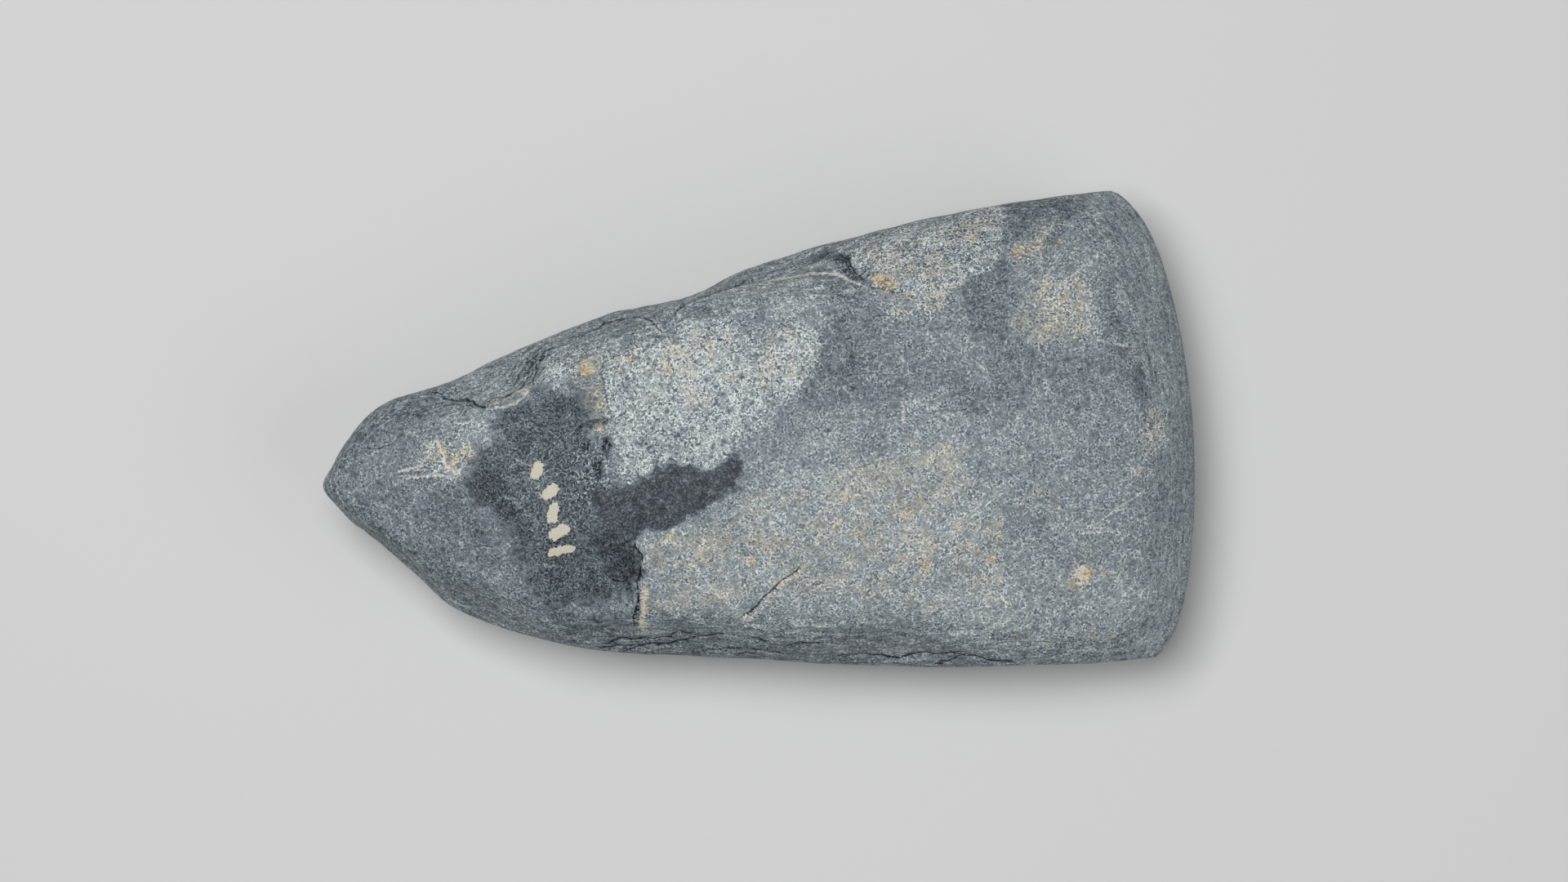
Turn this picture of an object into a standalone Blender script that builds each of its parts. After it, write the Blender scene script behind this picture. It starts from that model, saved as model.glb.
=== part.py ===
"""Polished stone axe head, a single piece of ground stone, lying on its flatter face.

Units are metres, +Z up. +X runs along the axe from the pointed butt to the cutting edge, +Y across it.
The origin is under the middle of the axe's box, on the surface that the axe lies on.
"""

import math

import bmesh
import bpy
import numpy as np
from mathutils import Matrix, Vector

# Driving sizes of the whole axe, before anything was struck off it.
AXE_LENGTH = 0.1284
BLADE_WIDTH = 0.0695
BODY_THICKNESS = 0.0352
# The cutting edge: how far its corners lie back from its middle, and how thick its blunt line is.
EDGE_CURVE_BACK = 0.0054
UPPER_CORNER_BACK = 0.0034
LOWER_CORNER_BACK = 0.0025
EDGE_LINE_THICKNESS = 0.0007
# How much is ground off the underside, so that the axe lies still.
REST_GRIND = 0.0010

# Where the ground bevel starts, as a share of the length, and how full its curve is.
BEVEL_START = 0.925
BEVEL_FULLNESS = 1.55
# How square the cross-section is: 2 is an ellipse, and more is squarer.
FLANK_SQUARENESS = 2.55
UPPER_FACE_SQUARENESS = 2.1
LOWER_FACE_SQUARENESS = 2.5
UPPER_CORNER_POWER = 9
LOWER_CORNER_POWER = 10

# The fine mesh that the scars are cut in, and the number of triangles that it is then reduced to.
RINGS = 200
RING_POINTS = 200
RING_CROWDING = 0.6
SECTION_STEPS = 720
FINISHED_TRIANGLES = 9000
# How far grinding and wear have rounded the scars' rims down.
RIM_WEAR = 0.00022
# How steeply the wall of a step falls: its depth for each unit that it goes back.
STEP_STEEPNESS = 1.6

# The unbroken outline, seen from above: (share of the length, share of half the blade's width).
UPPER_RIM = (
    (0.0, 0.0),
    (0.012, 0.078),
    (0.030, 0.170),
    (0.060, 0.288),
    (0.100, 0.362),
    (0.150, 0.412),
    (0.220, 0.492),
    (0.300, 0.592),
    (0.400, 0.690),
    (0.500, 0.778),
    (0.600, 0.858),
    (0.700, 0.922),
    (0.800, 0.966),
    (0.900, 0.992),
    (1.0, 1.0),
)
LOWER_RIM = (
    (0.0, 0.0),
    (0.012, 0.068),
    (0.030, 0.150),
    (0.060, 0.285),
    (0.100, 0.430),
    (0.150, 0.578),
    (0.220, 0.690),
    (0.300, 0.776),
    (0.400, 0.832),
    (0.500, 0.878),
    (0.600, 0.932),
    (0.700, 0.966),
    (0.800, 0.990),
    (0.900, 0.998),
    (1.0, 0.996),
)
# The unbroken side view, without the bevel: (share of the length, share of half the thickness).
FACE_RISE = (
    (0.0, 0.0),
    (0.012, 0.170),
    (0.030, 0.290),
    (0.060, 0.410),
    (0.120, 0.560),
    (0.200, 0.710),
    (0.300, 0.850),
    (0.420, 0.955),
    (0.550, 1.0),
    (0.680, 0.965),
    (0.800, 0.850),
    (0.900, 0.680),
    (1.0, 0.470),
)

# Flake scars, as struck off the edges before the axe was ground. Each is a shallow hollow, the bite of
# a stretched ball: (share of the length, degrees round the section, radius, depth, stretch, heading,
# tilt, step). 0 degrees is the rim at +Y, 90 the top face, 180 the other rim, 270 the underside.
# Radius and depth are shares of the length. Heading turns the stretch from the axe's own line, and
# tilt leans the hollow's floor round that line, both in degrees. A step is the share of the hollow's
# half-length where the flake broke off short and left a wall, or 0 for none.
SCARS = (
    # Along the rim at +Y, from the butt to the blade.
    (0.060, 34, 0.400, 0.0040, 1.6, 10, 0, 0.0),
    (0.208, 39, 0.190, 0.0140, 1.35, 8, -8, 0.0),
    (0.155, 4, 0.140, 0.0060, 1.3, 0, 0, 0.0),
    (0.352, 20, 0.300, 0.0085, 1.6, 2, 0, 0.0),
    (0.455, 8, 0.184, 0.0180, 1.0, 4, 0, 0.0),
    (0.578, 22, 0.310, 0.0135, 1.2, 0, 0, 0.0),
    (0.628, 34, 0.260, 0.0110, 1.1, 34, 0, 0.52),
    (0.648, 51, 0.250, 0.0050, 1.2, 42, 0, 0.42),
    (0.600, 56, 0.420, 0.0050, 1.3, -30, 0, 0.0),
    # The face itself, near the butt.
    (0.311, 124, 0.350, 0.0105, 1.2, -5, 0, 0.42),
    (0.488, 120, 0.300, 0.0055, 1.1, -55, 0, 0.41),
    # Along the rim at -Y, from the butt to the blade.
    (0.082, 168, 0.170, 0.0150, 1.2, 0, 0, 0.0),
    (0.175, 158, 0.300, 0.0130, 1.4, 0, 0, 0.0),
    (0.400, 158, 0.400, 0.0110, 1.7, -3, 0, 0.0),
    (0.640, 160, 0.400, 0.0100, 1.8, 2, 0, 0.0),
    # The underside, plainer.
    (0.110, 305, 0.300, 0.0140, 1.4, 24, 0, 0.0),
    (0.300, 328, 0.250, 0.0180, 1.5, 4, 0, 0.6),
    (0.500, 336, 0.300, 0.0150, 1.6, 0, 0, 0.0),
    (0.200, 218, 0.250, 0.0160, 1.5, -10, 0, 0.0),
    (0.420, 206, 0.250, 0.0150, 1.8, 0, 0, 0.5),
    (0.660, 202, 0.250, 0.0120, 1.8, 3, 0, 0.0),
    (0.330, 250, 0.420, 0.0060, 1.2, 30, 0, 0.0),
)

STONE_COLOUR = (0.19, 0.215, 0.24, 1.0)
STONE_ROUGHNESS = 0.62


# Larger than any way in to a scar's floor, as a share of the way to the axe's middle.
FAR = 100.0


def clear_scene():
    for old in list(bpy.data.objects):
        bpy.data.objects.remove(old, do_unlink=True)


def smooth_between(points, share):
    """The values at shares of the length, on a smooth curve through (share, value) points.

    The curve runs on the square root of the share, which makes the butt's end round.
    """
    at = np.sqrt([p[0] for p in points])
    value = np.array([p[1] for p in points])
    before = np.maximum(np.arange(len(at)) - 1, 0)
    after = np.minimum(np.arange(len(at)) + 1, len(at) - 1)
    slope = (value[after] - value[before]) / (at[after] - at[before])
    where = np.sqrt(np.clip(share, 0.0, 1.0))
    k = np.clip(np.searchsorted(at, where, side="right") - 1, 0, len(at) - 2)
    span = at[k + 1] - at[k]
    t = (where - at[k]) / span
    start = (2 * t**3 - 3 * t**2 + 1) * value[k] + (t**3 - 2 * t**2 + t) * span * slope[k]
    end = (3 * t**2 - 2 * t**3) * value[k + 1] + (t**3 - t**2) * span * slope[k + 1]
    return start + end


def reach_of_edge(across):
    """How far the cutting edge lies from the butt, on the line at this share across the axe."""
    curve = EDGE_CURVE_BACK * across**2
    upper = UPPER_CORNER_BACK * np.maximum(across, 0.0) ** UPPER_CORNER_POWER
    lower = LOWER_CORNER_BACK * np.maximum(-across, 0.0) ** LOWER_CORNER_POWER
    return AXE_LENGTH - curve - upper - lower


def half_thickness(along):
    """Half the thickness at a share of the way to the cutting edge, with the bevel ground on."""
    body = smooth_between(FACE_RISE, along) * BODY_THICKNESS / 2
    line = EDGE_LINE_THICKNESS / 2
    down = np.clip((along - BEVEL_START) / (1 - BEVEL_START), 0.0, 1.0)
    return line + (body - line) * (1 - down**BEVEL_FULLNESS) ** (1 / BEVEL_FULLNESS)


def signed_power(value, power):
    return np.copysign(np.abs(value) ** power, value)


def surface_points(along, turns):
    """Points of the unbroken axe. along is 0 at the butt and 1 at the edge, turns go round the section."""
    across = signed_power(np.cos(turns), 2 / FLANK_SQUARENESS)
    over = signed_power(np.sin(turns), 2 / UPPER_FACE_SQUARENESS)
    under = signed_power(np.sin(turns), 2 / LOWER_FACE_SQUARENESS)
    x = along * reach_of_edge(across)
    upper = smooth_between(UPPER_RIM, x / AXE_LENGTH)
    lower = smooth_between(LOWER_RIM, x / AXE_LENGTH)
    half_width = np.where(across > 0, upper, lower) * BLADE_WIDTH / 2
    rise = np.where(np.sin(turns) > 0, over, under) * half_thickness(along)
    return np.stack([x, across * half_width, rise], axis=-1)


def surface_point(along, turn):
    return Vector(surface_points(along, np.array([turn]))[0])


def outward(along, turn):
    """The direction out of the unbroken surface."""
    nudge = 0.01
    lengthwise = surface_point(along + nudge, turn) - surface_point(along - nudge, turn)
    round_section = surface_point(along, turn + nudge) - surface_point(along, turn - nudge)
    return lengthwise.cross(round_section).normalized() * -1


def unbroken_rings():
    """Rings of points from the butt to the edge, evenly spaced round each section.

    The rings are closer together near the butt and the cutting edge.
    """
    even = np.arange(1, RINGS + 1) / RINGS
    crowded = (1 - np.cos(np.pi * even)) / 2
    turns = np.linspace(0, 2 * np.pi, SECTION_STEPS + 1)
    rings = []
    for share in (1 - RING_CROWDING) * even + RING_CROWDING * crowded:
        outline = surface_points(share, turns)
        pieces = np.linalg.norm(np.diff(outline, axis=0), axis=1)
        walked = np.concatenate(([0.0], np.cumsum(pieces)))
        stops = np.linspace(0, walked[-1], RING_POINTS, endpoint=False)
        rings.append(np.stack([np.interp(stops, walked, outline[:, i]) for i in range(3)], axis=-1))
    return np.array(rings)


def cores_of(rings):
    """For each point of the rings, the point in the axe's middle that lies straight in from it."""
    high = rings.max(axis=1)
    low = rings.min(axis=1)
    middle = ((high[:, 1] + low[:, 1]) / 2)[:, None]
    half_width = ((high[:, 1] - low[:, 1]) / 2)[:, None]
    half_rise = ((high[:, 2] - low[:, 2]) / 2)[:, None]
    flat_part = np.maximum(half_width - half_rise, 0.0)
    cores = rings.copy()
    cores[:, :, 1] = middle + np.clip(rings[:, :, 1] - middle, -flat_part, flat_part)
    cores[:, :, 2] = 0.0
    return cores


def scar_frame(along, turn, radius, depth, heading, tilt):
    """The middle of the scar's ball, and the ball's own directions: lengthwise, sideways and out."""
    out = outward(along, turn)
    lengthwise = Vector((1, 0, 0))
    lengthwise = (lengthwise - out * lengthwise.dot(out)).normalized()
    lengthwise = Matrix.Rotation(math.radians(heading), 3, out) @ lengthwise
    surface = surface_point(along, turn)
    out = Matrix.Rotation(math.radians(tilt), 3, lengthwise) @ out
    sideways = out.cross(lengthwise)
    return np.array(surface + out * (radius - depth)), np.array((lengthwise, sideways, out))


def strike_scar(rings, cores, along, degrees, radius, depth, stretch, heading, tilt, step):
    """Moves the points that lie inside a scar's ball straight in, as far as the ball's own surface."""
    radius = radius * AXE_LENGTH
    depth = depth * AXE_LENGTH
    middle, directions = scar_frame(along, math.radians(degrees), radius, depth, heading, tilt)
    size = np.array((radius * stretch, radius, radius))
    here = (rings - middle) @ directions.T / size
    inward = (cores - rings) @ directions.T / size
    # The way in to the ball's surface solves |here + way * inward| = 1. It is below 0 outside the rim.
    a = (inward**2).sum(axis=-1)
    b = (here * inward).sum(axis=-1)
    c = (here**2).sum(axis=-1) - 1
    root = np.sqrt(np.maximum(b**2 - a * c, 0.0))
    near = (b**2 > a * c) & ((c < 0) | (root < b))
    reach = np.linalg.norm(cores - rings, axis=-1)
    moved = np.where(near, (root - b) / a, -FAR) * reach
    if step:
        wall = step * math.sqrt(radius**2 - (radius - depth) ** 2) / radius
        moved = np.minimum(moved, STEP_STEEPNESS * (wall - here[..., 0]) * size[0])
    worn = (moved + np.sqrt(moved**2 + RIM_WEAR**2)) / 2
    return rings + (cores - rings) * (worn / reach)[..., None]


def axe_mesh(rings):
    """Joins the rings from the butt's tip to the blunt line of the cutting edge."""
    bm = bmesh.new()
    tip = bm.verts.new(surface_point(0.0, 0.0))
    ring = [bm.verts.new(point) for point in rings[0]]
    edges = [bm.edges.new((ring[i - 1], ring[i])) for i in range(RING_POINTS)]
    for edge in edges:
        bm.faces.new((edge.verts[0], edge.verts[1], tip))
    for points in rings[1:]:
        drawn = set(bmesh.ops.extrude_edge_only(bm, edges=edges)["geom"])
        following = []
        for vert, point in zip(ring, points):
            neighbours = [e.other_vert(vert) for e in vert.link_edges]
            follower = next(v for v in neighbours if v in drawn)
            follower.co = point
            following.append(follower)
        ring = following
        edges = [bm.edges.get((ring[i - 1], ring[i])) for i in range(RING_POINTS)]
    for i in range(RING_POINTS // 2):
        corners = [ring[i], ring[i + 1], ring[(-i - 1) % RING_POINTS], ring[-i % RING_POINTS]]
        bm.faces.new(list(dict.fromkeys(corners)))
    bmesh.ops.recalc_face_normals(bm, faces=bm.faces)
    mesh = bpy.data.meshes.new("stone_axe_head")
    bm.to_mesh(mesh)
    bm.free()
    return mesh


def grind_rest_flat(bm):
    """Grinds the resting flat, and sets the axe down with its box over the origin."""
    lowest = min(v.co.z for v in bm.verts)
    cut = bmesh.ops.bisect_plane(
        bm,
        geom=bm.verts[:] + bm.edges[:] + bm.faces[:],
        plane_co=(0, 0, lowest + REST_GRIND),
        plane_no=(0, 0, -1),
        clear_outer=True,
    )
    rim = [e for e in cut["geom_cut"] if isinstance(e, bmesh.types.BMEdge)]
    bmesh.ops.contextual_create(bm, geom=rim)
    low = [min(v.co[i] for v in bm.verts) for i in range(3)]
    high = [max(v.co[i] for v in bm.verts) for i in range(3)]
    under_middle = Vector(((low[0] + high[0]) / 2, (low[1] + high[1]) / 2, low[2]))
    bmesh.ops.translate(bm, vec=-under_middle, verts=bm.verts)
    bmesh.ops.recalc_face_normals(bm, faces=bm.faces)
    if bm.calc_volume(signed=True) < 0:
        bmesh.ops.reverse_faces(bm, faces=bm.faces)


def stone_material():
    material = bpy.data.materials.new("ground_stone")
    material.use_nodes = True
    shader = material.node_tree.nodes["Principled BSDF"]
    shader.inputs["Base Color"].default_value = STONE_COLOUR
    shader.inputs["Roughness"].default_value = STONE_ROUGHNESS
    shader.inputs["Metallic"].default_value = 0.0
    return material


def build():
    clear_scene()
    rings = unbroken_rings()
    cores = cores_of(rings)
    for scar in SCARS:
        rings = strike_scar(rings, cores, *scar)
    axe = bpy.data.objects.new("stone_axe_head", axe_mesh(rings))
    bpy.context.collection.objects.link(axe)
    # Each quad of the fine mesh counts as two triangles.
    thin = axe.modifiers.new("thin_out", "DECIMATE")
    thin.ratio = FINISHED_TRIANGLES / (2 * RINGS * RING_POINTS)
    bm = bmesh.new()
    bm.from_object(axe, bpy.context.evaluated_depsgraph_get())
    axe.modifiers.clear()
    grind_rest_flat(bm)
    bm.to_mesh(axe.data)
    bm.free()
    axe.data.materials.append(stone_material())
    axe.data.shade_smooth()


build()
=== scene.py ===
"""Looks of a polished stone axe head: its worn, stained and flaked stone, with a pale floor and soft light.

Units are metres, +Z up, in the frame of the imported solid. The tables and the fields stored on the mesh are
in millimetres.
"""

import math

import bmesh
import bpy
import numpy as np
from bpy.props import FloatProperty, FloatVectorProperty, IntProperty, PointerProperty
from bpy.types import Operator, Panel, PropertyGroup
from mathutils import Matrix, Vector, noise


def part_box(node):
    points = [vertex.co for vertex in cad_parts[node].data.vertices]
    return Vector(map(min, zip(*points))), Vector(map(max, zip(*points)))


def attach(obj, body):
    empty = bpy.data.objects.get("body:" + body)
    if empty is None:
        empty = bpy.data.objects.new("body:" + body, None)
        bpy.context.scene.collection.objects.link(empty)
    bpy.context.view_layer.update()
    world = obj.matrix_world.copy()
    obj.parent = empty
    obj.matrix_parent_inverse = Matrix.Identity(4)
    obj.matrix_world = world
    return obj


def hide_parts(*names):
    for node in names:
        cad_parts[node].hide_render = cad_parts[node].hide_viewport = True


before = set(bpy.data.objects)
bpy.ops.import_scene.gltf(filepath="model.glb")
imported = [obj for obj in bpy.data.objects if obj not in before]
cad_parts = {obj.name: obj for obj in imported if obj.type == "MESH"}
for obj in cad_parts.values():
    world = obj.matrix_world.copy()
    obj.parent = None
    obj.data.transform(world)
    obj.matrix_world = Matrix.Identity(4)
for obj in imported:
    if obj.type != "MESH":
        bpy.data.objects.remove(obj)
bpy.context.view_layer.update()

bl_info = {
    "name": "Polished stone axe head",
    "version": (1, 0, 0),
    "blender": (4, 5, 0),
    "location": "View3D > Sidebar > Stone axe",
    "description": "Builds the worn stone of a polished axe head, and the floor and light that show it",
    "category": "Object",
}

NODE = "stone_axe_head"
SLOT = "ground_stone"
MM = 0.001
LOW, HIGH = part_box(NODE)
# The height of the rim, where the upper face turns into the underside.
RIM_HEIGHT = (LOW.z + HIGH.z) / 2
# Strips across the axe in which the cutting edge's reach is looked up.
EDGE_STRIPS = 60
WELD = 0.001 * MM
WEAR_FACTOR = 0.5
# The tables of stains and lines hold places as the camera sees them from a little off the vertical: a point
# this much higher than the rim shows this share of its height further across.
VIEW_LEAN = math.tan(math.radians(2))

# Where fields fade, from the value at which one is 0 to that at which it is full. Heights over the rim or
# the floor and distances from the cutting edge are in millimetres, and the last two are parts of a normal.
OVER_RIM = (-6.0, -3.0)
OVER_FLAT = (0.1, 1.5)
BEHIND_EDGE = (0.5, 6.0)
BEHIND_BEVEL = (9.5, 6.0)
TOWARDS_EDGE = (-10.0, 10.0)
STEEPNESS = (0.04, 0.30)
FACING_UP = (0.08, 0.35)

# Sums of noises in the stone: (strength, size of the lumps in millimetres, shift of the pattern).
NOISES = {
    "wander": ((1.0, 5.0, 0),),
    "flutter": ((1.0, 1.6, 80),),
    "waves": ((1.0, 16.0, 0),),
    "dents": ((1.0, 4.5, 7), (0.5, 1.8, 9)),
    "ledges": ((1.0, 1.0, 21), (0.6, 1 / 2.3, 21)),
    "bloom": ((0.6, 2.6, 61), (0.4, 1.3, 63)),
    "soil": ((1.0, 4.0, 67), (1.0, 1.8, 71)),
    "tone": ((0.05, 9.0, 15), (0.06, 3.0, 19), (0.05, 1.5, 29)),
    "under_tone": ((0.10, 14.0, 33),),
    "under_soil": ((1.0, 11.0, 55),),
    "under_bloom": ((1.0, 15.0, 77),),
}
# The ledges' noise is stretched by these, so that it lies in layers.
BEDDING = np.array((0.10, 0.10, 0.55))
# The wandering noises are shifted by this for their second direction.
SECOND_WAY = 40
# How far stains' borders and lines stray with the noises, in millimetres: (wander, flutter).
BORDER_STRAY = (0.4, 0.9)
LINE_STRAY = (0.3, 0.4)
FINE_STRAY = (0.0, 0.25)
SMUDGE_STRAY = (0.0, 0.5)

# How far beside a line its fields are whole and kept, and over what length its tips fade, in millimetres.
LINE_WHOLE = 0.78
LINE_REACH = 1.3
LINE_TIP = 1.5
GROOVE_REACH = 0.6
# A crack's strength, and how much of it comes and goes along the way.
CRACK_STRENGTH = 0.95
CRACK_CHANGE = 0.3
# How far to the left of its line a riser is full, still full and gone, in millimetres.
RISER_BAND = (0.3, 0.8, 1.25)
SCRATCHES = 70
SCRATCH_SEED = 11
# Mean and spread of the scratches' two directions, in degrees, and the ranges of their other measures.
SCRATCH_TURN = (30, 12)
CROSS_SCRATCH_TURN = (-50, 15)
SCRATCH_HALF_LENGTH = (1.5, 4.5)
SCRATCH_ALONG = (-50, 58)
SCRATCH_ACROSS = (-26, 26)
SCRATCH_STRENGTH = (0.3, 0.9)

# Widths of the soft borders of stains that are all alike, in millimetres.
COAT_BORDER = 3.5
SMOOTH_COAT_BORDER = 2.0
SOIL_BORDER = 3.0
# How much soil follows its lumps, in its stains and in the thin soil towards the cutting edge.
SOIL_LUMPS = 0.75
THIN_SOIL = 0.15
THIN_SOIL_LUMPS = 1.5
RUST_SPREAD = 1.15
BEVEL_PALER = 0.02
# The underside's stains: (strength, noise at which one starts, noise at which it is full).
UNDER_SOIL = (0.9, 0.15, 0.55)
UNDER_BLOOM = (0.8, 0.2, 0.5)

# The grain's two kinds of threads: (noise lumps in a thread spacing, detail, roughness, half width in the
# noise's own level).
BROAD_THREADS = (0.62, 1.0, 0.55, 0.12)
FINE_THREADS = (1.15, 0.0, 0.5, 0.16)
GRAIN_STRETCH = (1.0, 1.0, 0.8)
# Parts of the threads: the least share of the broad ones, then the fine ones and the soft noise between them.
BROAD_LEAST = 0.45
FINE_SHARE = 0.22
SOFT_SHARE = 0.28
SOFT_NOISE = (0.25, 0.75)
LAYER_STRETCH = (0.22, 0.22, 1.0)
# A dark parting runs between layers: (noise level, half width, depth).
PARTING = (0.47, 0.045, 0.28)
MEAN_THREADS = 0.45
# Detail and roughness of the layers' noise, and of the clusters' with their lumps in a millimetre first.
LAYER_NOISE = (1.0, 0.6)
CLUSTER_NOISE = (1.0, 1.0, 0.7)
# How much the threads add to the clusters of grain.
CLUSTER_THREADS = 0.25

# Each stain in the material: (how much the clusters of grain break its border, where it starts, where it is
# full).
STAINS = {
    "smooth_coat": (2.2, 0.44, 0.55),
    "coat": (3.4, 0.42, 0.58),
    "bloom": (3.2, 0.25, 1.05),
    "tan": (2.0, 0.35, 0.95),
    "smudge": (0.8, 0.45, 0.80),
    "rust": (1.5, 0.35, 1.50),
    "paint": (0.5, 0.46, 0.54),
}
# Each kind of line: (half width in millimetres, how much the clusters of grain bend it).
LINES = {
    "crack": (0.12, 0.28),
    "seam": (0.18, 0.28),
    "pale_line": (0.25, 0.5),
    "scratch": (0.13, 0.0),
}
# A line's least half width in millimetres, and the share of its width that is full.
LINE_THINNEST = 0.05
LINE_CORE = 0.4
# The stone's mean tone on the ramp from dark to pale grain, and what each mask adds to it.
BASE_TONE = 0.575
TONE_WEIGHTS = {
    "cluster": 0.43, "layers": 0.46, "bloom": 0.19, "coat": -0.31,
    "smooth_coat": -0.09, "bevel": -0.025, "striae": 0.32, "riser": 0.14,
    "pale_line": 0.28, "scratch": 0.18, "smudge": -0.26, "seam": -0.36,
    # The cracks darken the tone as painted shade in their crevices.
    "crack": -0.40, "soil": 0.085, "rust": 0.15,
}
# What each mask adds to the grain's contrast, as a share of it. Darker stretches are calmer, and soil fills
# the grain.
CONTRAST_WEIGHTS = {
    "tone": 1.4, "bloom": 0.526, "tan": -0.15,
    "coat": -0.2, "smooth_coat": -0.4, "bevel": -0.3,
}
# Distances from the cutting edge between which the ground bevel ends, in millimetres.
BEVEL_END = (6.0, 7.6)
BEVEL_SMOOTHNESS = 0.75
# Striations for each millimetre towards the cutting edge and along it.
STRIAE_SCALE = (2.6, 0.22)
# Shares of a mask between two values of the grain: (low value, high value, share at low, share at high).
RISER_IN_GRAIN = (-0.35, 0.05, 0.4, 1.0)
SOIL_IN_GRAIN = (0.30, 0.65, 0.8, 1.0)
# Soil along the pale lines, and rust on the risers.
SOIL_ON_LINES = 0.8
RUST_ON_RISERS = 0.6
THREAD_ROUGHNESS = 0.15
# Heights in the bump: of the threads, how much the smooth coat fills them, and of the layers.
THREAD_HEIGHT = 0.5
COAT_FILL = 0.35
LAYER_HEIGHT = 2.2
RAMP_STOPS = 9
EYE_GAMMA = 2.2

# The floor's size as create_grid takes it, in metres, and its faint clouds: (lumps a metre, detail, darkest
# share of the colour).
FLOOR_SIZE = 2.0
FLOOR_CLOUDS = (6.0, 3.0, 0.97)
FLOOR_ROUGHNESS = 0.85
# Each lamp, aimed at the axe: (size and place in metres, colour).
KEY_LAMP = (0.40, (-0.14, 0.12, 0.80), (0.99, 0.995, 1.0))
FILL_LAMP = (0.60, (0.55, -0.30, 0.60), (0.97, 0.985, 1.0))
# How far the picture's middle lies to the right of and above the axe's, in millimetres.
VIEW_SHIFT = (3.9, 1.75)

# Outlines of stains on the upper face, in millimetres from the middle of the axe: +x is towards the
# cutting edge and +y is across it.
DARK_COAT = (
    (-38, 9), (-36.5, 9), (-32.5, 10.3), (-31.3, 12), (-29.7, 11.3), (-27.4, 10.3), (-25.3, 11.4),
    (-24.6, 9.7), (-24.6, 6.9), (-24, 4), (-21, 3.5), (-20.5, 0.5), (-20, -4), (-20.5, -8), (-19.7, -10.5),
    (-19, -13), (-19.2, -16), (-19, -18.5), (-25, -19), (-32, -19.5), (-33.8, -17), (-34.4, -12),
    (-36, -8.3), (-37.9, -6.5), (-39.8, -5.3), (-41.1, -3.4), (-41.7, -1.2), (-41.3, 0.8), (-40.2, 2.5),
    (-38.4, 4.2), (-37.1, 5.3), (-37.2, 7.1),
)
SMOOTH_COAT = (
    (-23.7, -3.9), (-21.1, -4.2), (-19, -3.5), (-17.9, -2.2), (-15.5, -2.4), (-15.4, -0.4), (-12.6, -0.8),
    (-9.8, -0.9), (-8.2, -1.8), (-6.7, -2.3), (-5, -0.8), (-3.3, 0.2), (-2, -2.8), (-3.6, -4.3),
    (-6.2, -6.3), (-7.9, -7.3), (-10.8, -7.9), (-13.5, -10.2), (-16.5, -9.7), (-18.9, -10.4),
    (-18.8, -11.2), (-17.8, -13.3), (-17.9, -14.8), (-18.4, -16.4), (-19.5, -17.2), (-20.9, -16.8),
    (-22.6, -16), (-23.2, -13.7), (-24.1, -10.5), (-23, -8.5), (-23.4, -6.5),
)
# Pale blooms: (strength, softness, points of the outline).
BLOOMS = (
    (1.1, 3, (-20.8, 16), (-18.1, 15.6), (-15.5, 18.3), (-10, 17), (-8.7, 19.7), (-6.6, 20), (-1.8, 18.8),
     (0.3, 15.8), (2, 9), (1, 5), (-3, 2.2), (-5, 0), (-6.7, -1.8), (-8.2, -1.2), (-9.8, -0.3),
     (-12.6, -0.2), (-15, 0.3), (-15.5, -1.8), (-18, -1.8), (-20.3, 1), (-20.5, 7)),
    (0.85, 3, (0.8, 14.6), (5.2, 15.8), (6.2, 19), (10.2, 16.6), (9.7, 12.8), (8.6, 10.7), (7, 8.7),
     (2.9, 8)),
    (0.85, 3, (-30.5, 15.5), (-27, 16.5), (-25, 14.5), (-24.8, 11.8), (-27.4, 10.8), (-29.9, 11.8)),
    (0.75, 3, (-26.5, 1.5), (-24.5, 4), (-21, 3.5), (-19, 0.5), (-17.8, -1.8), (-19, -3.4), (-23.5, -3.6),
     (-26.5, -1.5)),
    (0.35, 3, (-27.5, -2), (-23.8, -3.5), (-23.2, -5.5), (-26.5, -6)),
    (0.32, 3, (-50, 4), (-45, 6), (-40, 9), (-38.8, 6), (-42, 0), (-46, 0), (-51, 0.5)),
    (1.4, 1, (44, -19.8), (46.3, -19.6), (47.2, -21.3), (45.8, -22.8), (44, -22.2)),
    (0.65, 3, (19.7, 19.9), (22.3, 19.6), (22.7, 18), (21.5, 17.2), (20.3, 17.7)),
    (0.65, 3, (24.5, 20.3), (27.2, 20.5), (28.8, 19.5), (28.4, 18), (26.7, 17.5), (25.4, 18.5)),
    (0.45, 3, (39, 26), (42.8, 27.5), (46, 31), (47, 30), (44.7, 28.2), (43.8, 26), (41, 24.8)),
    (0.35, 3, (40.8, 20.2), (44.6, 22.3), (49.8, 22.5), (52.5, 20.9), (50.6, 16.6), (49.9, 13.9),
     (42.6, 12.4)),
    (0.6, 2.5, (56, 2), (59.5, 2.5), (60, -2.5), (57, -5), (55, -2)),
    (0.65, 0.8, (14.5, 28.8), (20, 30.5), (26, 31.8), (32, 32.6), (38.7, 33.4), (38.9, 29.2), (38.3, 26.4),
     (36.8, 25.1), (34.6, 23.1), (32.2, 22.7), (28.5, 20.5), (25, 20), (22.6, 20.8), (20.5, 22.8),
     (17.8, 24.4), (16, 26)),
)
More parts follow.
